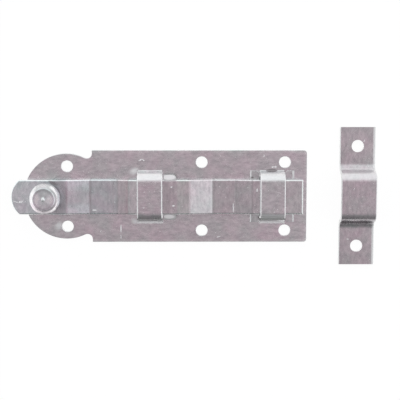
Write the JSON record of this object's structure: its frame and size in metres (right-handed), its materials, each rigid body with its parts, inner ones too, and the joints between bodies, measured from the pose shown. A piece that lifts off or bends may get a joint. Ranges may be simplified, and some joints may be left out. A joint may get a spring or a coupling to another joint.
{
  "type": "window bolt",
  "caption": "Sliding window bolt: a flat wave-bent bar with a turned knob runs in bridges of a round-ended base plate, with a separate keeper strap.",
  "frame": {"origin": "middle of the base plate's flat back face", "axes": "+X the way the bolt shoots, along the plate's length; +Z out of the plate's front, away from the window frame; +Y across the plate"},
  "size_m": [0.1535, 0.0584, 0.0158],
  "materials": {
    "zinc_sheet": "zinc-plated sheet steel, dull and finely mottled",
    "spring_strip": "zinc-plated spring strip",
    "zinc_bar": "zinc-plated flat steel with rolled edges",
    "zinc_knob": "turned steel, zinc plated"
  },
  "bodies": {
    "base": {"base_plate": "zinc_sheet", "friction_spring": "spring_strip", "keeper": "zinc_sheet"},
    "bolt": {"slide_bar": "zinc_bar", "knob": "zinc_knob"}
  },
  "joints": [
    {"name": "bolt_slide", "type": "slide", "parent": "base", "child": "bolt", "axis": [1, 0, 0], "range_m": [0, 0.033], "deforming": ["friction_spring"]}
  ]
}
